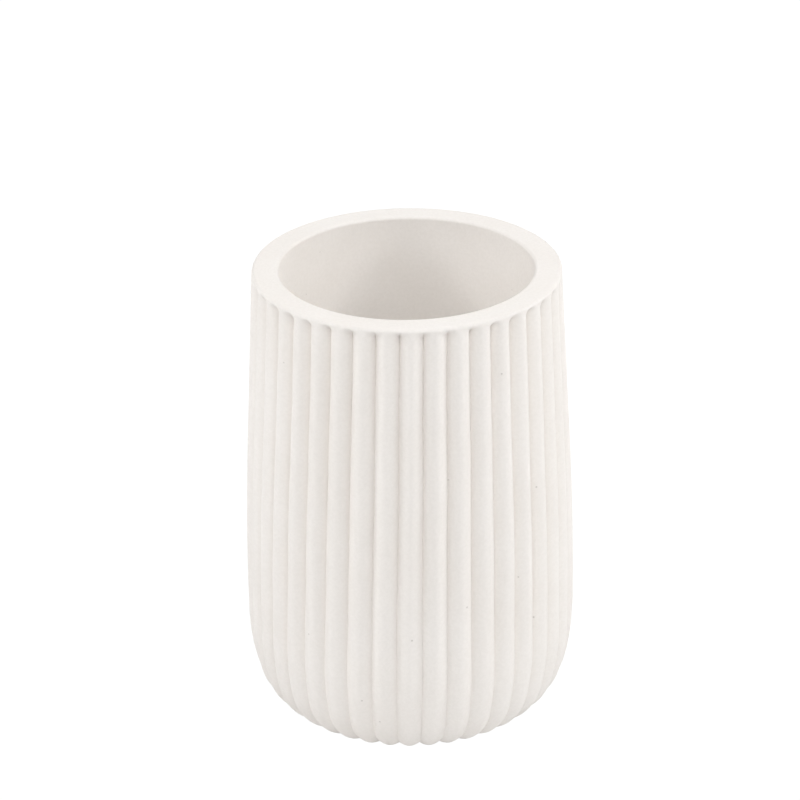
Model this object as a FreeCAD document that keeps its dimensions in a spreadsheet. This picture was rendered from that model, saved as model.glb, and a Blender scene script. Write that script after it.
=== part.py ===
import FreeCAD, Part
import math
import os
import Sketcher
from FreeCAD import Vector

# Bathroom tumbler: a heavy cast cup with upright ribs, standing on a glued non-slip disc.
# Millimetres, +Z up. The origin is the middle of the disc's underside, which rests on the counter.

# Driving sizes: name, value, meaning. Heights are measured from the counter.
SIZES = [
    ("overall_height", 110.0, "counter to the top of the rim"),
    ("belly_radius", 38.6, "axis to the rib crests at the widest place"),
    ("belly_height", 24.6, "height of the widest place"),
    ("base_inset", 10.4, "how far the base edge lies inside the widest place"),
    ("heel_height", 10.8, "where the tight heel curve passes into the lower side"),
    ("side_curve", 55.0, "radius of the lower side's curve, below the widest place"),
    ("wall_start", 64.0, "height where the belly curve passes into the straight wall"),
    ("wall_lean", 3.05, "inward lean of the straight wall, in degrees"),
    ("wall_thickness", 6.2, "rib crest to bore, at the rim"),
    ("rim_round", 1.2, "rounding of the rib ends at the rim"),
    ("mouth_round", 0.7, "rounding of the rim into the bore"),
    ("bore_taper", 1.2, "how much narrower the bore is at its floor, on the radius"),
    ("floor_thickness", 8.0, "resin between the base and the bore's floor"),
    ("floor_round", 9.0, "rounding between the bore and its floor"),
    ("rib_count", 40, "ribs around the cup"),
    ("rib_land", 0.25, "strip between two neighbouring valley cuts at the widest place"),
    ("valley_depth", 1.5, "depth of the valleys between the ribs"),
    ("valley_fade", 1.7, "how far the valley cut has drawn outward at the base edge"),
    ("valley_overrun", 1.0, "how far the valley cut stands out from the rib crests"),
    ("run_out_radius", 2.8, "outward curve of each valley where it ends under the rim"),
    ("run_out_length", 3.8, "how far below the rim that curve starts"),
    ("foot_ring", 5.0, "width of the resin ring around the disc, from the base edge"),
    ("disc_thickness", 2.0, "sheet that the non-slip disc is cut from"),
    ("disc_proud", 0.5, "how far the disc stands below the resin"),
    ("disc_clearance", 0.4, "gap around the disc in its recess"),
    ("film_thickness", 0.2, "adhesive film between disc and resin"),
]

# Dimensions that several driving sizes make up.
BASE_RADIUS = "(sizes.belly_radius - sizes.base_inset)"
RECESS_RADIUS = f"({BASE_RADIUS} - sizes.foot_ring)"
DISC_RADIUS = f"({RECESS_RADIUS} - sizes.disc_clearance)"
RECESS_DEPTH = "(sizes.disc_thickness + sizes.film_thickness - sizes.disc_proud)"
RIB_PITCH = "(2 * pi * sizes.belly_radius / sizes.rib_count)"
VALLEY_WIDTH = f"({RIB_PITCH} - sizes.rib_land)"
# The valleys get shallower around the heel, because their cut turns in less than the heel does.
VALLEY_BASE_RADIUS = f"({BASE_RADIUS} + sizes.valley_fade)"
# The cut runs on below the base until its root has left the resin.
VALLEY_LEAD = "(4 * sizes.valley_depth)"
RUN_OUT_HEIGHT = "(sizes.overall_height - sizes.run_out_length)"

# Places on a sketch curve, the sketch's own origin and its two axes.
START, END, CENTRE = 1, 2, 3
ORIGIN = (-1, 1)
LEVEL_AXIS = -1
UPRIGHT_AXIS = -2


def make_sheet(doc):
    """Write the driving sizes into the sheet, one named cell each."""
    sheet = doc.addObject("Spreadsheet::Sheet", "sizes")
    for row, (name, value, meaning) in enumerate(SIZES, start=1):
        sheet.set(f"A{row}", meaning)
        sheet.set(f"B{row}", str(value))
        sheet.setAlias(f"B{row}", name)
    doc.recompute()


def polar(centre, radius, degrees):
    """Return the point at a distance and direction from another point."""
    turn = math.radians(degrees)
    return centre + Vector(math.cos(turn), math.sin(turn)) * radius


def make_body(doc, name):
    """Start one sub-part."""
    body = doc.addObject("PartDesign::Body", name)
    body.Label = name
    return body


def origin_part(body, role):
    """Return one of a body's own planes or axes."""
    return next(part for part in body.Origin.OriginFeatures if part.Role == role)


def make_sketch(body, name, plane, height="0"):
    """Start a sketch on one of the body's own planes, raised to a height."""
    sketch = body.newObject("Sketcher::SketchObject", name)
    sketch.AttachmentSupport = [(origin_part(body, plane), "")]
    sketch.MapMode = "FlatFace"
    sketch.setExpression("AttachmentOffset.Base.z", height)
    return sketch


def line(sketch, start, end):
    """Add a straight stretch."""
    return sketch.addGeometry(Part.LineSegment(start, end))


def arc(sketch, centre, radius, first, last):
    """Add a round stretch, counter-clockwise between two directions in degrees."""
    circle = Part.Circle(centre, Vector(0, 0, 1), radius)
    return sketch.addGeometry(Part.ArcOfCircle(circle, math.radians(first), math.radians(last)))


def relate(sketch, kind, *places):
    """Add a relation that needs no size."""
    sketch.addConstraint(Sketcher.Constraint(kind, *places))


def size(sketch, name, formula, kind, *places):
    """Add a dimension, at its true value from the start, and tie it to the sheet."""
    value = sketch.evalExpression(formula)
    index = sketch.addConstraint(Sketcher.Constraint(kind, *places, value))
    sketch.renameConstraint(index, name)
    sketch.setExpression(f"Constraints.{name}", formula)


def draw_outer_side(sketch, base_radius):
    """Draw an outline that turns up from the base and follows the rib crests into the straight wall."""
    sizes = sketch.Document.sizes
    lean = sizes.wall_lean

    # The lower side turns down from the widest place to the heel.
    side_centre = Vector(sizes.belly_radius - sizes.side_curve, sizes.belly_height)
    side_drop = sizes.belly_height - sizes.heel_height
    side_turn = math.degrees(math.asin(side_drop / sizes.side_curve))
    heel_top = polar(side_centre, sizes.side_curve, -side_turn)

    # The heel carries on from there to the base.
    base_edge = Vector(sketch.evalExpression(base_radius), sizes.disc_proud)
    chord = heel_top - base_edge
    heel_turn = 2 * math.degrees(math.atan2(chord.x, chord.y)) - side_turn
    half_bend = math.radians(heel_turn - side_turn) / 2
    heel_radius = chord.Length / 2 / math.sin(half_bend)
    heel_centre = polar(heel_top, heel_radius, 180 - side_turn)

    # The belly turns from upright to the lean of the straight wall.
    belly_curve = (sizes.wall_start - sizes.belly_height) / math.sin(math.radians(lean))
    belly_centre = Vector(sizes.belly_radius - belly_curve, sizes.belly_height)
    wall_start = polar(belly_centre, belly_curve, lean)
    wall_rise = sketch.evalExpression(RUN_OUT_HEIGHT) - sizes.wall_start
    wall_end = polar(wall_start, wall_rise, 90 + lean)

    heel = arc(sketch, heel_centre, heel_radius, -heel_turn, -side_turn)
    side = arc(sketch, side_centre, sizes.side_curve, -side_turn, 0)
    belly = arc(sketch, belly_centre, belly_curve, 0, lean)
    wall = line(sketch, wall_start, wall_end)

    relate(sketch, "Tangent", heel, END, side, START)
    relate(sketch, "Tangent", side, END, belly, START)
    relate(sketch, "Tangent", belly, END, wall, START)
    relate(sketch, "Horizontal", side, CENTRE, side, END)
    size(sketch, "base_radius", base_radius, "DistanceX", *ORIGIN, heel, START)
    size(sketch, "base_height", "sizes.disc_proud", "DistanceY", *ORIGIN, heel, START)
    size(sketch, "heel_height", "sizes.heel_height", "DistanceY", *ORIGIN, heel, END)
    size(sketch, "belly_radius", "sizes.belly_radius", "DistanceX", *ORIGIN, side, END)
    size(sketch, "belly_height", "sizes.belly_height", "DistanceY", *ORIGIN, side, END)
    size(sketch, "side_curve", "sizes.side_curve", "Radius", side)
    size(sketch, "wall_start", "sizes.wall_start", "DistanceY", *ORIGIN, wall, START)
    size(sketch, "wall_lean", "(90 + sizes.wall_lean) * 1 deg", "Angle", wall)
    return heel, wall


def draw_wall_section(body):
    """Draw half of the cup's upright section: outside, rim, bore, floor and base."""
    sketch = make_sketch(body, "wall_section", "XZ_Plane")
    sizes = sketch.Document.sizes
    heel, wall = draw_outer_side(sketch, BASE_RADIUS)
    base_edge = sketch.Geometry[heel].StartPoint
    crest = sketch.Geometry[wall].EndPoint.x

    # First places of the rim and the bore, close to where the relations hold them.
    rim_centre = Vector(crest - sizes.rim_round, sizes.overall_height - sizes.rim_round)
    bore_radius = crest - sizes.wall_thickness
    mouth_centre = Vector(bore_radius + sizes.mouth_round, sizes.overall_height - sizes.mouth_round)
    floor_height = sizes.disc_proud + sizes.floor_thickness
    corner_x = bore_radius - sizes.bore_taper - sizes.floor_round
    corner_centre = Vector(corner_x, floor_height + sizes.floor_round)
    middle_of_floor = Vector(0, floor_height)
    middle_of_base = Vector(0, sizes.disc_proud)

    rim = arc(sketch, rim_centre, sizes.rim_round, sizes.wall_lean, 90)
    land_start = polar(rim_centre, sizes.rim_round, 90)
    land = line(sketch, land_start, polar(mouth_centre, sizes.mouth_round, 90))
    mouth = arc(sketch, mouth_centre, sizes.mouth_round, 90, 180)
    bore_start = polar(mouth_centre, sizes.mouth_round, 180)
    bore = line(sketch, bore_start, polar(corner_centre, sizes.floor_round, 0))
    corner = arc(sketch, corner_centre, sizes.floor_round, -90, 0)
    floor = line(sketch, polar(corner_centre, sizes.floor_round, -90), middle_of_floor)
    axis = line(sketch, middle_of_floor, middle_of_base)
    base = line(sketch, middle_of_base, base_edge)

    relate(sketch, "Tangent", wall, END, rim, START)
    relate(sketch, "Tangent", rim, END, land, START)
    relate(sketch, "Tangent", land, END, mouth, START)
    relate(sketch, "Tangent", mouth, END, bore, START)
    relate(sketch, "Tangent", bore, END, corner, END)
    relate(sketch, "Tangent", corner, START, floor, START)
    relate(sketch, "Coincident", floor, END, axis, START)
    relate(sketch, "Coincident", axis, END, base, START)
    relate(sketch, "Coincident", base, END, heel, START)
    for level in (land, floor, base):
        relate(sketch, "Horizontal", level)
    relate(sketch, "Vertical", axis)
    relate(sketch, "PointOnObject", axis, START, UPRIGHT_AXIS)
    size(sketch, "overall_height", "sizes.overall_height", "DistanceY", *ORIGIN, land, START)
    size(sketch, "rim_round", "sizes.rim_round", "Radius", rim)
    size(sketch, "mouth_round", "sizes.mouth_round", "Radius", mouth)
    size(sketch, "wall_thickness", "sizes.wall_thickness", "DistanceX", bore, START, wall, END)
    size(sketch, "bore_taper", "sizes.bore_taper", "DistanceX", bore, END, bore, START)
    size(sketch, "floor_round", "sizes.floor_round", "Radius", corner)
    size(sketch, "floor_thickness", "sizes.floor_thickness", "DistanceY", axis, END, axis, START)
    return sketch


def draw_valley_path(body):
    """Draw the way of one valley cut: in through the base, up the side and out under the rim."""
    sketch = make_sketch(body, "valley_path", "XZ_Plane")
    sizes = sketch.Document.sizes
    heel, wall = draw_outer_side(sketch, VALLEY_BASE_RADIUS)
    base_edge = sketch.Geometry[heel].StartPoint
    wall_end = sketch.Geometry[wall].EndPoint

    from_heel_centre = base_edge - sketch.Geometry[heel].Center
    below_base = Vector(from_heel_centre.y, -from_heel_centre.x).normalize()
    lead = line(sketch, base_edge + below_base * sketch.evalExpression(VALLEY_LEAD), base_edge)
    run_out_centre = polar(wall_end, sizes.run_out_radius, sizes.wall_lean)
    run_out = arc(sketch, run_out_centre, sizes.run_out_radius, 90, 180 + sizes.wall_lean)

    relate(sketch, "Tangent", lead, END, heel, START)
    relate(sketch, "Tangent", wall, END, run_out, END)
    relate(sketch, "Vertical", run_out, START, run_out, CENTRE)
    size(sketch, "lead", VALLEY_LEAD, "Distance", lead)
    size(sketch, "run_out_height", RUN_OUT_HEIGHT, "DistanceY", *ORIGIN, wall, END)
    size(sketch, "run_out_radius", "sizes.run_out_radius", "Radius", run_out)
    return sketch


def draw_valley_section(body):
    """Draw the gap between two rib flanks, level with the belly, where the cut's way is upright."""
    sketch = make_sketch(body, "valley_section", "XY_Plane", "sizes.belly_height")
    sizes = sketch.Document.sizes
    half_width = sketch.evalExpression(VALLEY_WIDTH) / 2
    left = Vector(sizes.belly_radius, half_width)
    right = Vector(sizes.belly_radius, -half_width)
    outward = Vector(sizes.valley_overrun, 0)

    # Both flanks are round: they meet in a sharp root and end level with the rib crests.
    flank_radius = (half_width ** 2 + sizes.valley_depth ** 2) / (2 * sizes.valley_depth)
    flank_turn = math.degrees(math.asin(half_width / flank_radius))
    left_flank = arc(sketch, polar(left, flank_radius, 180), flank_radius, -flank_turn, 0)
    right_flank = arc(sketch, polar(right, flank_radius, 180), flank_radius, 0, flank_turn)
    left_side = line(sketch, left, left + outward)
    right_side = line(sketch, right, right + outward)
    back = line(sketch, right + outward, left + outward)

    relate(sketch, "Coincident", left_flank, START, right_flank, END)
    relate(sketch, "Coincident", left_flank, END, left_side, START)
    relate(sketch, "Coincident", right_flank, START, right_side, START)
    relate(sketch, "Coincident", left_side, END, back, END)
    relate(sketch, "Coincident", right_side, END, back, START)
    relate(sketch, "Horizontal", left_side)
    relate(sketch, "Horizontal", right_side)
    relate(sketch, "Vertical", back)
    relate(sketch, "Symmetric", left_flank, END, right_flank, START, LEVEL_AXIS)
    relate(sketch, "PointOnObject", left_flank, START, LEVEL_AXIS)
    relate(sketch, "Equal", left_flank, right_flank)
    relate(sketch, "Horizontal", left_flank, CENTRE, left_flank, END)
    size(sketch, "crest", "sizes.belly_radius", "DistanceX", *ORIGIN, left_flank, END)
    size(sketch, "depth", "sizes.valley_depth", "DistanceX", left_flank, START, left_flank, END)
    size(sketch, "width", VALLEY_WIDTH, "DistanceY", right_flank, START, left_flank, END)
    size(sketch, "overrun", "sizes.valley_overrun", "DistanceX", left_side, START, left_side, END)
    return sketch


def draw_round(body, name, radius, height):
    """Draw a circle about the axis at a height."""
    sketch = make_sketch(body, name, "XY_Plane", height)
    circle = Part.Circle(Vector(0, 0), Vector(0, 0, 1), sketch.evalExpression(radius))
    edge = sketch.addGeometry(circle)
    relate(sketch, "Coincident", edge, CENTRE, *ORIGIN)
    size(sketch, "radius", radius, "Radius", edge)
    return sketch


def make_tumbler_body(doc):
    """Turn the cup, sink the disc's recess into its base and cut the valleys between the ribs."""
    body = make_body(doc, "tumbler_body")
    cup = body.newObject("PartDesign::Revolution", "cup")
    cup.Profile = draw_wall_section(body)
    cup.ReferenceAxis = (origin_part(body, "Z_Axis"), [""])
    cup.Angle = 360
    doc.recompute()

    recess = body.newObject("PartDesign::Pocket", "disc_recess")
    recess.Profile = draw_round(body, "recess_edge", RECESS_RADIUS, "sizes.disc_proud")
    recess.setExpression("Length", RECESS_DEPTH)
    recess.Reversed = True
    doc.recompute()

    valley = body.newObject("PartDesign::SubtractivePipe", "valley")
    valley.Profile = draw_valley_section(body)
    valley.Spine = (draw_valley_path(body), [])
    doc.recompute()

    valleys = body.newObject("PartDesign::PolarPattern", "valleys")
    valleys.Originals = [valley]
    valleys.Axis = (origin_part(body, "Z_Axis"), [""])
    valleys.Angle = 360
    valleys.setExpression("Occurrences", "sizes.rib_count")
    body.Tip = valleys

    # Half a rib's turn puts a crest, not a valley, at the front.
    body.setExpression("Placement.Rotation.Angle", "180 deg / sizes.rib_count")
    doc.recompute()
    check_cuts([cup, recess, valley, valleys])
    return body


def make_layer(doc, name, underside, thickness):
    """Cut one flat layer of the non-slip foot to the disc's outline."""
    body = make_body(doc, name)
    layer = body.newObject("PartDesign::Pad", f"{name}_sheet")
    layer.Profile = draw_round(body, f"{name}_edge", DISC_RADIUS, "0")
    layer.setExpression("Length", thickness)
    body.setExpression("Placement.Base.z", underside)
    doc.recompute()
    return body


def check_cuts(features):
    """Stop if a cut left the solid as it was."""
    for before, after in zip(features, features[1:]):
        if after.Shape.Volume >= before.Shape.Volume:
            raise RuntimeError(f"{after.Name} cut nothing")


def check_document(doc, bodies):
    """Stop if an object failed or a sub-part isn't one sound solid."""
    for item in doc.Objects:
        if "Invalid" in item.State or "Error" in item.State:
            raise RuntimeError(f"{item.Name} failed: {item.State}")
    for body in bodies:
        if body.Shape.isNull() or not body.Shape.isValid() or len(body.Shape.Solids) != 1:
            raise RuntimeError(f"{body.Label} isn't one sound solid")


def main():
    doc = FreeCAD.newDocument("tumbler")
    make_sheet(doc)
    bodies = [
        make_tumbler_body(doc),
        make_layer(doc, "adhesive_film", "sizes.disc_thickness", "sizes.film_thickness"),
        make_layer(doc, "non_slip_disc", "0", "sizes.disc_thickness"),
    ]
    check_document(doc, bodies)
    os.makedirs("parts", exist_ok=True)
    for body in bodies:
        body.Shape.exportStep(f"parts/{body.Label}.step")
        print(body.Label, round(body.Shape.Volume / 1000, 2), "cm3")


main()
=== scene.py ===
import math

import bpy
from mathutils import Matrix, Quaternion, Vector, noise


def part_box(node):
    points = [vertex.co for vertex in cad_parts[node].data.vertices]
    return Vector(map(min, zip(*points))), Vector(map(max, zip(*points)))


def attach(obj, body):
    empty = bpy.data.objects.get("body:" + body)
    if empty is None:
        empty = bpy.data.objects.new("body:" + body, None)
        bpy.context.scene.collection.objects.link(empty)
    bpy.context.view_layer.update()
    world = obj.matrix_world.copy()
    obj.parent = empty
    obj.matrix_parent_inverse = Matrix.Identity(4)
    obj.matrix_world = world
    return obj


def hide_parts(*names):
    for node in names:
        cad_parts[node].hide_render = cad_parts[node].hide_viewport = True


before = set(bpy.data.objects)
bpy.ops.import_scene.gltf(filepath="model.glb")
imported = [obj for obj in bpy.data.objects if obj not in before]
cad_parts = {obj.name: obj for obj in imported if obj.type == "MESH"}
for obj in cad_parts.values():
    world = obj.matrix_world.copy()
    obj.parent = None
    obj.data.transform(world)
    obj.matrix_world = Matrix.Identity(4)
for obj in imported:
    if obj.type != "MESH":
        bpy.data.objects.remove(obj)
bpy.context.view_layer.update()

# Metres, in the CAD's own frame: the counter is z = 0 and the front faces -Y.
MM = 0.001

# Outside of the cup along the rib crests, with the number of steps along each stretch.
BODY_LOW, BODY_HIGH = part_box("tumbler_body")
BASE_HEIGHT = BODY_LOW.z
RIM_HEIGHT = BODY_HIGH.z
BELLY_RADIUS = (BODY_HIGH.y - BODY_LOW.y) / 2
BELLY_HEIGHT = 24.6 * MM
BASE_RADIUS = BELLY_RADIUS - 10.4 * MM
HEEL_HEIGHT = 10.8 * MM
SIDE_CURVE = 55 * MM
WALL_START = 64 * MM
WALL_LEAN = math.radians(3.05)
RIM_ROUND = 0.8 * MM
HEEL_STEPS = 24
SIDE_STEPS = 10
BELLY_STEPS = 16
WALL_STEPS = 18
RUN_OUT_STEPS = 10

# Inside of the cup, also with its steps.
WALL_THICKNESS = 6.2 * MM
MOUTH_ROUND = 0.7 * MM
BORE_TAPER = 1.2 * MM
FLOOR_HEIGHT = BASE_HEIGHT + 8 * MM
FLOOR_ROUND = 9 * MM
EDGE_STEPS = 10
LAND_STEPS = 6
BORE_STEPS = 8
CORNER_STEPS = 12
FLOOR_STEPS = 4

# Ribs: round faces with a narrow groove at the bottom of the valley between each two.
RIB_COUNT = 40
RIB_PITCH_ANGLE = 2 * math.pi / RIB_COUNT
RIB_ROUNDNESS = 1.8
GROOVE_SHARE = 0.07
GROOVE_WIDTH = 0.1
GROOVE_STEEPNESS = 3
COLUMNS_PER_FLANK = 8
COLUMN_CROWDING = 2.0

# Valleys: deep under the rim, shallow at the base, with a notch between the ribs' toes.
VALLEY_DEPTH = 2.15 * MM
BASE_VALLEY_DEPTH = 0.6 * MM
VALLEY_FADE_HEIGHT = 31 * MM
TOE_NOTCH_DEPTH = 0.5 * MM
TOE_NOTCH_HEIGHT = 3 * MM
RUN_OUT_LENGTH = 2.0 * MM
RUN_OUT_END = 0.4 * MM

# Unevenness of a hand-finished casting: its ribs don't stand quite upright, and its skin isn't
# quite true. The more variety, the less a rib wanders along with its neighbours.
RIB_TURN = math.radians(-0.13)
RIB_TWIST = math.radians(3.0)
WAVE_DEPTH = 0.05 * MM
WAVE_LENGTH = 9 * MM
RIB_WANDER = 0.18 * MM
WANDER_LENGTH = 16 * MM
WANDER_VARIETY = 3

# Underside. Shares place its rings of points between the inner and the outer edge of each face.
RECESS_RADIUS = BASE_RADIUS - 5 * MM
RECESS_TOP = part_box("adhesive_film")[1].z
RECESS_RING_SHARES = (0.3, 0.6, 0.9, 1.0)
FOOT_RING_SHARES = (0.25, 0.5, 0.75)
DISC_LOW, DISC_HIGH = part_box("non_slip_disc")
DISC_EDGE_ROUND = 0.25 * MM
DISC_RING_SHARES = (0.25, 0.5, 0.75)
DISC_COLUMNS = 128
DISC_EDGE_STEPS = 5
DISC_SIDE_STEPS = 3

# An edge of a mesh that turns by more than this stays sharp.
SHARP_ANGLE = math.radians(50)

# Materials. A tint is how much of a colour shows where it is strongest, and a relief is how much
# of a bump's depth tilts the surface.
WHOLE_RANGE = (0, 1)
CLOUD_RANGE = (0.35, 0.65)
FINE_DETAIL = 3
COARSE_DETAIL = 2

# Cast resin.
RESIN_COLOURS = ((0.88, 0.842, 0.803), (0.896, 0.862, 0.828))
RESIN_CLOUD_SIZE = 22 * MM
RESIN_ROUGHNESS = (0.55, 0.72)
RESIN_SPECULAR = 0.25
SAND_COLOUR = (0.68, 0.65, 0.60)
SAND_TINT = 0.10
SAND_SIZE = 0.7 * MM
SAND_RANGE = (0.38, 0.62)
SAND_DEPTH = 0.12 * MM
SAND_RELIEF = 0.35
# Pinhole shade: small dark spots in a share of cells are painted shade, standing in for the
# hollow of a pinhole that neither the mesh nor the bump cuts.
PINHOLE_SHADE_COLOUR = (0.33, 0.30, 0.27)
PINHOLE_SHADE_TINT = 0.38
PINHOLE_SHADE_RADIUS = 0.30 * MM
PINHOLE_SHADE_SPACING = 4 * MM
PINHOLE_SHADE_SHARE = 0.16

# Foam.
FOAM_COLOURS = ((0.74, 0.73, 0.70), (0.80, 0.79, 0.76))
FOAM_CLOUD_SIZE = 6 * MM
FOAM_ROUGHNESS = (0.8, 0.92)
CELL_SIZE = 0.45 * MM
CELL_WALL_COLOUR = (0.58, 0.56, 0.53)
CELL_WALL_TINT = 0.25
CELL_WALL_RANGE = (0.1, 0.7)
CELL_WALL_DEPTH = 0.1 * MM
CELL_WALL_RELIEF = 0.4

# Adhesive.
FILM_COLOURS = ((0.74, 0.68, 0.52), (0.82, 0.77, 0.63))
FILM_ROUGHNESS = (0.2, 0.45)
BLOTCH_SIZE = 3 * MM
BLOTCH_DEPTH = 0.05 * MM
BLOTCH_RELIEF = 0.3

# Floor and backdrop; a little over full white, so that they are clean where they are seen.
FLOOR_HALF_WIDTH = 10.0
FLOOR_COLOUR = (0.9, 0.9, 0.9, 1)
ROOM_COLOUR = (0, 0, 0, 1)
BACKDROP_COLOUR = (1, 1, 1, 1)
CLEAN_WHITE = 1.05

# Light: a ring of softboxes, each as name, bearing from the front towards the right, elevation,
# width and watts.
SOFTBOX_DISTANCE = 1.2
WIDE = 0.8
NARROW = 0.25
SOFTBOXES = [
    ("front_softbox", 0, 50, WIDE, 6.9),
    ("front_right_softbox", 65, 30, WIDE, 3.9),
    ("right_softbox", 90, 35, NARROW, 3.4),
    ("back_right_softbox", 135, 30, WIDE, 5.1),
    ("back_left_softbox", -135, 30, WIDE, 3.7),
    ("left_softbox", -90, 35, NARROW, 3.2),
    ("front_left_softbox", -65, 30, WIDE, 3.7),
]

# Camera, from the photo's outline and rim ellipses. The lens and the sensor are in millimetres.
VIEW_TARGET = Vector((-1.92, 0, 76.4)) * MM
VIEW_DISTANCE = 696.8 * MM
VIEW_ELEVATION = math.radians(25.88)
VIEW_ROLL = math.radians(-0.75)
VIEW_REACH = 50
LENS = 135.9
SENSOR_WIDTH = 36


def points_along_line(start, end, steps):
    """Even points on a straight stretch, without its start."""
    return [start.lerp(end, step / steps) for step in range(1, steps + 1)]


def points_along_arc(centre, radius, first, last, steps):
    """Even points on a round stretch between two directions, without its start."""
    turns = [first + (last - first) * step / steps for step in range(1, steps + 1)]
    return [centre + Vector((math.cos(turn), math.sin(turn))) * radius for turn in turns]


def wall_radius(height):
    """Radius of the straight upper wall along the rib crests, at a height."""
    belly_shrink = (WALL_START - BELLY_HEIGHT) * math.tan(WALL_LEAN / 2)
    return BELLY_RADIUS - belly_shrink - (height - WALL_START) * math.tan(WALL_LEAN)


def outer_side():
    """Points (radius, height) up the rib crests, from the base edge to the rim's rounding."""
    side_centre = Vector((BELLY_RADIUS - SIDE_CURVE, BELLY_HEIGHT))
    side_turn = math.asin((BELLY_HEIGHT - HEEL_HEIGHT) / SIDE_CURVE)
    side_start = Vector((math.cos(side_turn), -math.sin(side_turn)))
    heel_top = side_centre + side_start * SIDE_CURVE

    base_edge = Vector((BASE_RADIUS, BASE_HEIGHT))
    chord = heel_top - base_edge
    heel_turn = 2 * math.atan2(chord.x, chord.y) - side_turn
    heel_radius = chord.length / 2 / math.sin((heel_turn - side_turn) / 2)
    heel_centre = heel_top - side_start * heel_radius

    belly_curve = (WALL_START - BELLY_HEIGHT) / math.sin(WALL_LEAN)
    belly_centre = Vector((BELLY_RADIUS - belly_curve, BELLY_HEIGHT))

    run_out = RIM_HEIGHT - RUN_OUT_END - RUN_OUT_LENGTH
    run_out_start = Vector((wall_radius(run_out), run_out))
    rounding = RIM_HEIGHT - RIM_ROUND * (1 - math.sin(WALL_LEAN))
    rounding_start = Vector((wall_radius(rounding), rounding))

    points = [base_edge]
    points += points_along_arc(heel_centre, heel_radius, -heel_turn, -side_turn, HEEL_STEPS)
    points += points_along_arc(side_centre, SIDE_CURVE, -side_turn, 0, SIDE_STEPS)
    points += points_along_arc(belly_centre, belly_curve, 0, WALL_LEAN, BELLY_STEPS)
    points += points_along_line(points[-1], run_out_start, WALL_STEPS)
    points += points_along_line(points[-1], rounding_start, RUN_OUT_STEPS)
    return points


def rim_and_bore(rounding_start):
    """Points over the rim, down the bore and along its floor, as (rim rounding, the rest)."""
    lean_shift = RIM_ROUND * math.cos(WALL_LEAN)
    rim_centre = Vector((rounding_start.x - lean_shift, RIM_HEIGHT - RIM_ROUND))
    bore_radius = wall_radius(RIM_HEIGHT - RIM_ROUND) - WALL_THICKNESS
    mouth_centre = Vector((bore_radius + MOUTH_ROUND, RIM_HEIGHT - MOUTH_ROUND))
    land_end = mouth_centre + Vector((0, MOUTH_ROUND))
    corner_centre = Vector((bore_radius - BORE_TAPER - FLOOR_ROUND, FLOOR_HEIGHT + FLOOR_ROUND))
    bore_end = corner_centre + Vector((FLOOR_ROUND, 0))
    floor_middle = Vector((0, FLOOR_HEIGHT))

    rounding = points_along_arc(rim_centre, RIM_ROUND, WALL_LEAN, math.pi / 2, EDGE_STEPS)
    rest = points_along_line(rounding[-1], land_end, LAND_STEPS)
    rest += points_along_arc(mouth_centre, MOUTH_ROUND, math.pi / 2, math.pi, EDGE_STEPS)
    rest += points_along_line(rest[-1], bore_end, BORE_STEPS)
    rest += points_along_arc(corner_centre, FLOOR_ROUND, 0, -math.pi / 2, CORNER_STEPS)
    rest += points_along_line(rest[-1], floor_middle, FLOOR_STEPS)
    return rounding, rest


def rib_dip(share):
    """Depth of a rib's face below its crest, from 0 at the crest to 1 at the valley's root.

    share runs from 0 at the root to 1 at the crest."""
    face = (1 - share) ** RIB_ROUNDNESS
    groove = 1 / (1 + (share / GROOVE_WIDTH) ** GROOVE_STEEPNESS)
    return face * (1 - GROOVE_SHARE) + groove * GROOVE_SHARE


def share_below_rim(height):
    """Share of the valleys' depth that is left at a height, as they run out under the rim."""
    share = (RIM_HEIGHT - RUN_OUT_END - height) / RUN_OUT_LENGTH
    share = min(max(share, 0), 1)
    return share * share * (3 - 2 * share)


def valley_depths(points):
    """Depth of the valleys towards the axis, at each point (radius, height) up the rib crests.

    Square to the surface they get shallower towards the base, where they end in notches, and
    they run out under the rim."""
    depths = []
    for before, point, after in zip(points[:1] + points, points, points[1:] + points[-1:]):
        along = (after - before).normalized()
        fade = 1 - math.exp(-point.y / VALLEY_FADE_HEIGHT)
        notch = TOE_NOTCH_DEPTH * math.exp(-point.y / TOE_NOTCH_HEIGHT)
        square_depth = BASE_VALLEY_DEPTH + (VALLEY_DEPTH - BASE_VALLEY_DEPTH) * fade + notch
        depths.append(square_depth * share_below_rim(point.y) / along.y)
    return depths


def rib_columns():
    """Angle and dip of each upright row of points, crowded towards the valleys."""
    steps = range(COLUMNS_PER_FLANK + 1)
    shares = [(step / COLUMNS_PER_FLANK) ** COLUMN_CROWDING for step in steps]
    front = -math.pi / 2
    columns = []
    for rib in range(RIB_COUNT):
        crest = front + rib * RIB_PITCH_ANGLE
        for share in shares[:-1]:
            columns.append((crest - (1 - share) * RIB_PITCH_ANGLE / 2, rib_dip(share)))
        for share in reversed(shares[1:]):
            columns.append((crest + (1 - share) * RIB_PITCH_ANGLE / 2, rib_dip(share)))
    return columns


def around(angle, radius, height):
    """The point at an angle around the axis."""
    return Vector((radius * math.cos(angle), radius * math.sin(angle), height))


def wave(place):
    """Inward unevenness of the casting at a place on its outside."""
    return WAVE_DEPTH * (0.5 + 0.5 * noise.noise(place / WAVE_LENGTH))


def turned(angle, height):
    """The angle at which a rib stands at a height, with its lean and its wander."""
    lean = RIB_TURN + RIB_TWIST * (height / RIM_HEIGHT - 0.5)
    place = around(angle, WANDER_VARIETY, height / WANDER_LENGTH)
    return angle + lean + RIB_WANDER / BELLY_RADIUS * noise.noise(place)


def ring_at(radius, height, angles):
    """A level ring of points with one radius."""
    return [around(angle, radius, height) for angle in angles]


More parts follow.
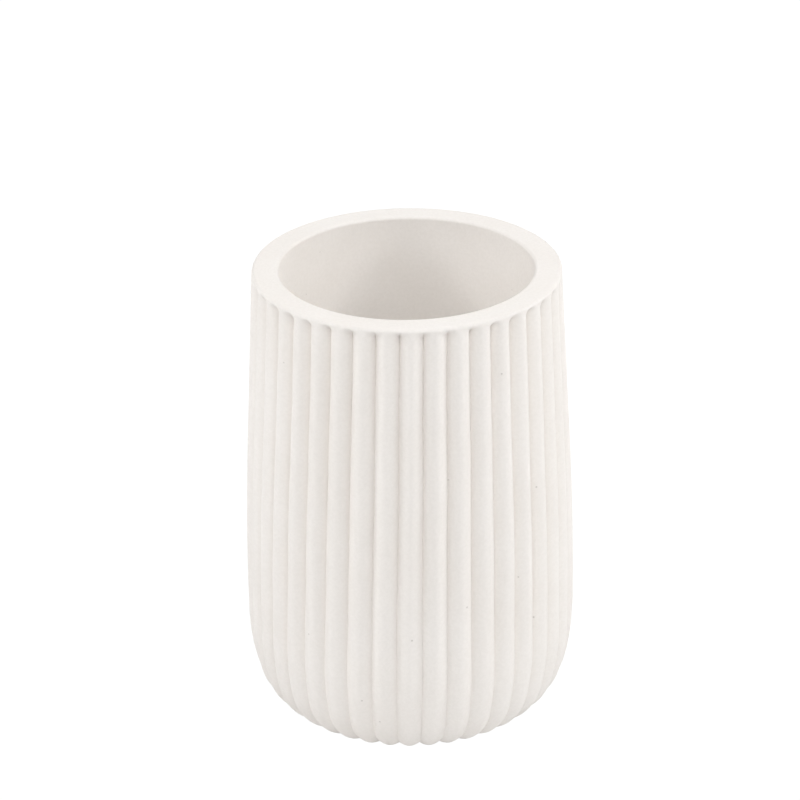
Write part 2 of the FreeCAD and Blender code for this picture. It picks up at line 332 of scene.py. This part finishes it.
def mesh_from_rings(name, rings):
    """Make a closed mesh from rings of points, with a single point at each end."""
    columns = len(rings[1])
    vertices = [rings[0][0]]
    for ring in rings[1:-1]:
        vertices += ring
    vertices.append(rings[-1][0])
    last = len(vertices) - 1
    faces = []
    for column in range(columns):
        beside = (column + 1) % columns
        faces.append((0, 1 + beside, 1 + column))
        for row in range(len(rings) - 3):
            lower = 1 + row * columns
            upper = lower + columns
            faces.append((lower + column, lower + beside, upper + beside, upper + column))
        top = 1 + (len(rings) - 3) * columns
        faces.append((top + column, top + beside, last))
    mesh = bpy.data.meshes.new(name)
    mesh.from_pydata(vertices, [], faces)
    mesh.validate()
    mesh.shade_smooth()
    mesh.set_sharp_from_angle(angle=SHARP_ANGLE)
    piece = bpy.data.objects.new(name, mesh)
    bpy.context.scene.collection.objects.link(piece)
    return piece


def make_cup():
    """The casting: underside, ribbed outside, rim, bore and floor as one closed skin."""
    columns = rib_columns()
    angles = [angle for angle, _ in columns]
    outside = outer_side()
    rounding, inside = rim_and_bore(outside[-1])
    depths = valley_depths(outside + rounding)

    rings = [[Vector((0, 0, RECESS_TOP))]]
    rings += [ring_at(RECESS_RADIUS * share, RECESS_TOP, angles) for share in RECESS_RING_SHARES]
    rings.append(ring_at(RECESS_RADIUS, BASE_HEIGHT, angles))
    for share in FOOT_RING_SHARES:
        ring = []
        for angle, dip in columns:
            edge = outside[0].x - dip * depths[0]
            radius = RECESS_RADIUS + (edge - RECESS_RADIUS) * share
            ring.append(around(turned(angle, BASE_HEIGHT), radius, BASE_HEIGHT))
        rings.append(ring)
    for point, depth in zip(outside + rounding, depths):
        ring = []
        for angle, dip in columns:
            turn = turned(angle, point.y)
            place = around(turn, point.x - dip * depth, point.y)
            ring.append(place - around(turn, wave(place), 0))
        rings.append(ring)
    rings += [ring_at(point.x, point.y, angles) for point in inside[:-1]]
    rings.append([Vector((0, 0, FLOOR_HEIGHT))])

    cup = mesh_from_rings("cup_casting", rings)
    cup.data.materials.append(resin_material())
    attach(cup, "root")
    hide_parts("tumbler_body")


def make_disc():
    """The die-cut foam disc, with edges rounded by the cutter."""
    radius = (DISC_HIGH.x - DISC_LOW.x) / 2
    lower = Vector((radius - DISC_EDGE_ROUND, DISC_LOW.z + DISC_EDGE_ROUND))
    upper = Vector((radius - DISC_EDGE_ROUND, DISC_HIGH.z - DISC_EDGE_ROUND))
    side_end = upper + Vector((DISC_EDGE_ROUND, 0))
    outline = [Vector((radius * share, DISC_LOW.z)) for share in DISC_RING_SHARES]
    outline.append(lower - Vector((0, DISC_EDGE_ROUND)))
    outline += points_along_arc(lower, DISC_EDGE_ROUND, -math.pi / 2, 0, DISC_EDGE_STEPS)
    outline += points_along_line(outline[-1], side_end, DISC_SIDE_STEPS)
    outline += points_along_arc(upper, DISC_EDGE_ROUND, 0, math.pi / 2, DISC_EDGE_STEPS)
    outline += [Vector((radius * share, DISC_HIGH.z)) for share in reversed(DISC_RING_SHARES)]

    angles = [2 * math.pi * step / DISC_COLUMNS for step in range(DISC_COLUMNS)]
    rings = [[Vector((0, 0, DISC_LOW.z))]]
    rings += [ring_at(point.x, point.y, angles) for point in outline]
    rings.append([Vector((0, 0, DISC_HIGH.z))])
    disc = mesh_from_rings("foam_disc", rings)
    disc.data.materials.append(foam_material())
    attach(disc, "root")
    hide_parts("non_slip_disc")


def start_material(name):
    """A new node material: its tree, its surface shader and the object's own coordinates."""
    material = bpy.data.materials.new(name)
    material.use_nodes = True
    tree = material.node_tree
    shader = tree.nodes["Principled BSDF"]
    place = tree.nodes.new("ShaderNodeTexCoord").outputs["Object"]
    return material, tree, shader, place


def add_noise(tree, place, size, detail):
    """Noise with features of a real size; returns its grey output."""
    node = tree.nodes.new("ShaderNodeTexNoise")
    node.inputs["Scale"].default_value = 1 / size
    node.inputs["Detail"].default_value = detail
    tree.links.new(place, node.inputs["Vector"])
    return node.outputs["Fac"]


def add_cells(tree, place, size):
    """Cells of a real size that fill space; returns the node."""
    node = tree.nodes.new("ShaderNodeTexVoronoi")
    node.inputs["Scale"].default_value = 1 / size
    tree.links.new(place, node.inputs["Vector"])
    return node


def add_range(tree, value, before=WHOLE_RANGE, after=WHOLE_RANGE):
    """Stretch one range of a value over another range."""
    node = tree.nodes.new("ShaderNodeMapRange")
    sockets = ("From Min", "From Max", "To Min", "To Max")
    for name, number in zip(sockets, (*before, *after)):
        node.inputs[name].default_value = number
    tree.links.new(value, node.inputs["Value"])
    return node.outputs["Result"]


def add_spots(tree, place, spacing, radius, share):
    """Round spots in a share of the cells that fill space; 1 in a spot and 0 elsewhere."""
    cells = add_cells(tree, place, spacing)
    edge = radius / spacing
    spot = add_range(tree, cells.outputs["Distance"], (edge, edge / 2))
    chosen = tree.nodes.new("ShaderNodeSeparateColor")
    tree.links.new(cells.outputs["Color"], chosen.inputs["Color"])
    picked = tree.nodes.new("ShaderNodeMath")
    picked.operation = "LESS_THAN"
    picked.inputs[1].default_value = share
    tree.links.new(chosen.outputs["Red"], picked.inputs[0])
    both = tree.nodes.new("ShaderNodeMath")
    both.operation = "MULTIPLY"
    tree.links.new(spot, both.inputs[0])
    tree.links.new(picked.outputs[0], both.inputs[1])
    return both.outputs[0]


def add_blend(tree, factor, first, second):
    """Blend two colours by a factor; each colour is a socket or a plain colour."""
    node = tree.nodes.new("ShaderNodeMix")
    node.data_type = "RGBA"
    tree.links.new(factor, node.inputs["Factor"])
    for name, colour in (("A", first), ("B", second)):
        socket = next(s for s in node.inputs if s.name == name and s.type == "RGBA")
        if isinstance(colour, tuple):
            socket.default_value = (*colour, 1)
        else:
            tree.links.new(colour, socket)
    return next(s for s in node.outputs if s.type == "RGBA")


def add_tint(tree, where, tint, colour, tint_colour):
    """Let some of another colour show in a colour, most where a value is 1."""
    return add_blend(tree, add_range(tree, where, after=(0, tint)), colour, tint_colour)


def dress_surface(tree, shader, colour, roughness, height, depth, relief):
    """Give a shader its colour, its roughness and a bump from a height map."""
    bump = tree.nodes.new("ShaderNodeBump")
    bump.inputs["Strength"].default_value = relief
    bump.inputs["Distance"].default_value = depth
    tree.links.new(height, bump.inputs["Height"])
    tree.links.new(bump.outputs["Normal"], shader.inputs["Normal"])
    tree.links.new(colour, shader.inputs["Base Color"])
    tree.links.new(roughness, shader.inputs["Roughness"])


def resin_material():
    """Matt off-white filled resin: cloudy colour, sandy grain and a few dark spots, each one
    painted shade for a pinhole.
    """
    material, tree, shader, place = start_material("cast_resin")
    shader.inputs["Specular IOR Level"].default_value = RESIN_SPECULAR
    cloud = add_range(tree, add_noise(tree, place, RESIN_CLOUD_SIZE, FINE_DETAIL), CLOUD_RANGE)
    grain = add_noise(tree, place, SAND_SIZE, FINE_DETAIL)
    sand = add_range(tree, grain, SAND_RANGE)
    # Painted shade: dark spots where a pinhole's hollow would be shaded; the surface itself has
    # no such hollow.
    pinhole_shade = add_spots(tree, place, PINHOLE_SHADE_SPACING, PINHOLE_SHADE_RADIUS, PINHOLE_SHADE_SHARE)
    colour = add_blend(tree, cloud, *RESIN_COLOURS)
    colour = add_tint(tree, sand, SAND_TINT, colour, SAND_COLOUR)
    colour = add_tint(tree, pinhole_shade, PINHOLE_SHADE_TINT, colour, PINHOLE_SHADE_COLOUR)
    roughness = add_range(tree, sand, after=RESIN_ROUGHNESS)
    dress_surface(tree, shader, colour, roughness, grain, SAND_DEPTH, SAND_RELIEF)
    return material


def foam_material():
    """Matt closed-cell foam: small cells with slightly darker walls."""
    material, tree, shader, place = start_material("eva_foam")
    cells = add_cells(tree, place, CELL_SIZE)
    wall = add_range(tree, cells.outputs["Distance"], CELL_WALL_RANGE)
    cloud = add_noise(tree, place, FOAM_CLOUD_SIZE, COARSE_DETAIL)
    colour = add_blend(tree, cloud, *FOAM_COLOURS)
    colour = add_tint(tree, wall, CELL_WALL_TINT, colour, CELL_WALL_COLOUR)
    roughness = add_range(tree, wall, after=FOAM_ROUGHNESS)
    dress_surface(tree, shader, colour, roughness, wall, CELL_WALL_DEPTH, CELL_WALL_RELIEF)
    return material


def film_material():
    """Thin amber adhesive, glossy where it has wetted the resin."""
    material, tree, shader, place = start_material("adhesive")
    blotch = add_range(tree, add_noise(tree, place, BLOTCH_SIZE, FINE_DETAIL), CLOUD_RANGE)
    colour = add_blend(tree, blotch, *FILM_COLOURS)
    roughness = add_range(tree, blotch, after=FILM_ROUGHNESS)
    dress_surface(tree, shader, colour, roughness, blotch, BLOTCH_DEPTH, BLOTCH_RELIEF)
    return material


def dress_film():
    """The adhesive film keeps its CAD shape and gets its own material."""
    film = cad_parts["adhesive_film"]
    film.data.materials.clear()
    film.data.materials.append(film_material())


def show_instead(tree, lit, seen, output):
    """Let one surface light the scene and another be seen by the camera."""
    path = tree.nodes.new("ShaderNodeLightPath")
    mix = tree.nodes.new("ShaderNodeMixShader")
    tree.links.new(path.outputs["Is Camera Ray"], mix.inputs["Fac"])
    tree.links.new(lit, mix.inputs[1])
    tree.links.new(seen, mix.inputs[2])
    tree.links.new(mix.outputs["Shader"], tree.nodes[output].inputs["Surface"])


def make_floor():
    """A plain pale floor; seen directly it is as clean as the photo's ground."""
    half = FLOOR_HALF_WIDTH
    mesh = bpy.data.meshes.new("floor")
    corners = [(-half, -half, 0), (half, -half, 0), (half, half, 0), (-half, half, 0)]
    mesh.from_pydata(corners, [], [(0, 1, 2, 3)])
    floor = bpy.data.objects.new("floor", mesh)
    bpy.context.scene.collection.objects.link(floor)
    material = bpy.data.materials.new("floor")
    material.use_nodes = True
    tree = material.node_tree
    shader = tree.nodes["Principled BSDF"]
    shader.inputs["Base Color"].default_value = FLOOR_COLOUR
    shader.inputs["Roughness"].default_value = 1.0
    shader.inputs["Specular IOR Level"].default_value = 0.0
    glow = tree.nodes.new("ShaderNodeEmission")
    glow.inputs["Strength"].default_value = CLEAN_WHITE
    show_instead(tree, shader.outputs["BSDF"], glow.outputs["Emission"], "Material Output")
    floor.data.materials.append(material)


def add_softbox(name, bearing, elevation, width, watts):
    """A square light that looks down at the cup."""
    light = bpy.data.lights.new(name, "AREA")
    light.shape = "SQUARE"
    light.size = width
    light.energy = watts
    turn, rise = math.radians(bearing), math.radians(elevation)
    level = Vector((math.sin(turn), -math.cos(turn), 0))
    outward = level * math.cos(rise) + Vector((0, 0, math.sin(rise)))
    lamp = bpy.data.objects.new(name, light)
    lamp.location = Vector((0, 0, RIM_HEIGHT / 2)) + outward * SOFTBOX_DISTANCE
    lamp.rotation_mode = "QUATERNION"
    lamp.rotation_quaternion = (-outward).to_track_quat("-Z", "Y")
    bpy.context.scene.collection.objects.link(lamp)


def make_light():
    """A ring of softboxes in a dark room, which is white like the floor where it is seen."""
    world = bpy.data.worlds.new("room")
    world.use_nodes = True
    tree = world.node_tree
    room = tree.nodes["Background"]
    room.inputs["Color"].default_value = ROOM_COLOUR
    backdrop = tree.nodes.new("ShaderNodeBackground")
    backdrop.inputs["Color"].default_value = BACKDROP_COLOUR
    backdrop.inputs["Strength"].default_value = CLEAN_WHITE
    show_instead(tree, room.outputs["Background"], backdrop.outputs["Background"], "World Output")
    bpy.context.scene.world = world
    for softbox in SOFTBOXES:
        add_softbox(*softbox)


def make_camera():
    """The photo's viewpoint, a little above the rim with a long lens."""
    camera = bpy.data.cameras.new("camera")
    camera.lens = LENS
    camera.sensor_width = SENSOR_WIDTH
    camera.clip_end = VIEW_REACH
    eye = bpy.data.objects.new("camera", camera)
    back = Vector((0, -math.cos(VIEW_ELEVATION), math.sin(VIEW_ELEVATION)))
    eye.location = VIEW_TARGET + back * VIEW_DISTANCE
    eye.rotation_mode = "QUATERNION"
    roll = Quaternion((0, 0, 1), VIEW_ROLL)
    eye.rotation_quaternion = (-back).to_track_quat("-Z", "Y") @ roll
    bpy.context.scene.collection.objects.link(eye)
    bpy.context.scene.camera = eye


make_cup()
make_disc()
dress_film()
make_floor()
make_light()
make_camera()
bpy.context.scene.view_settings.view_transform = "Standard"
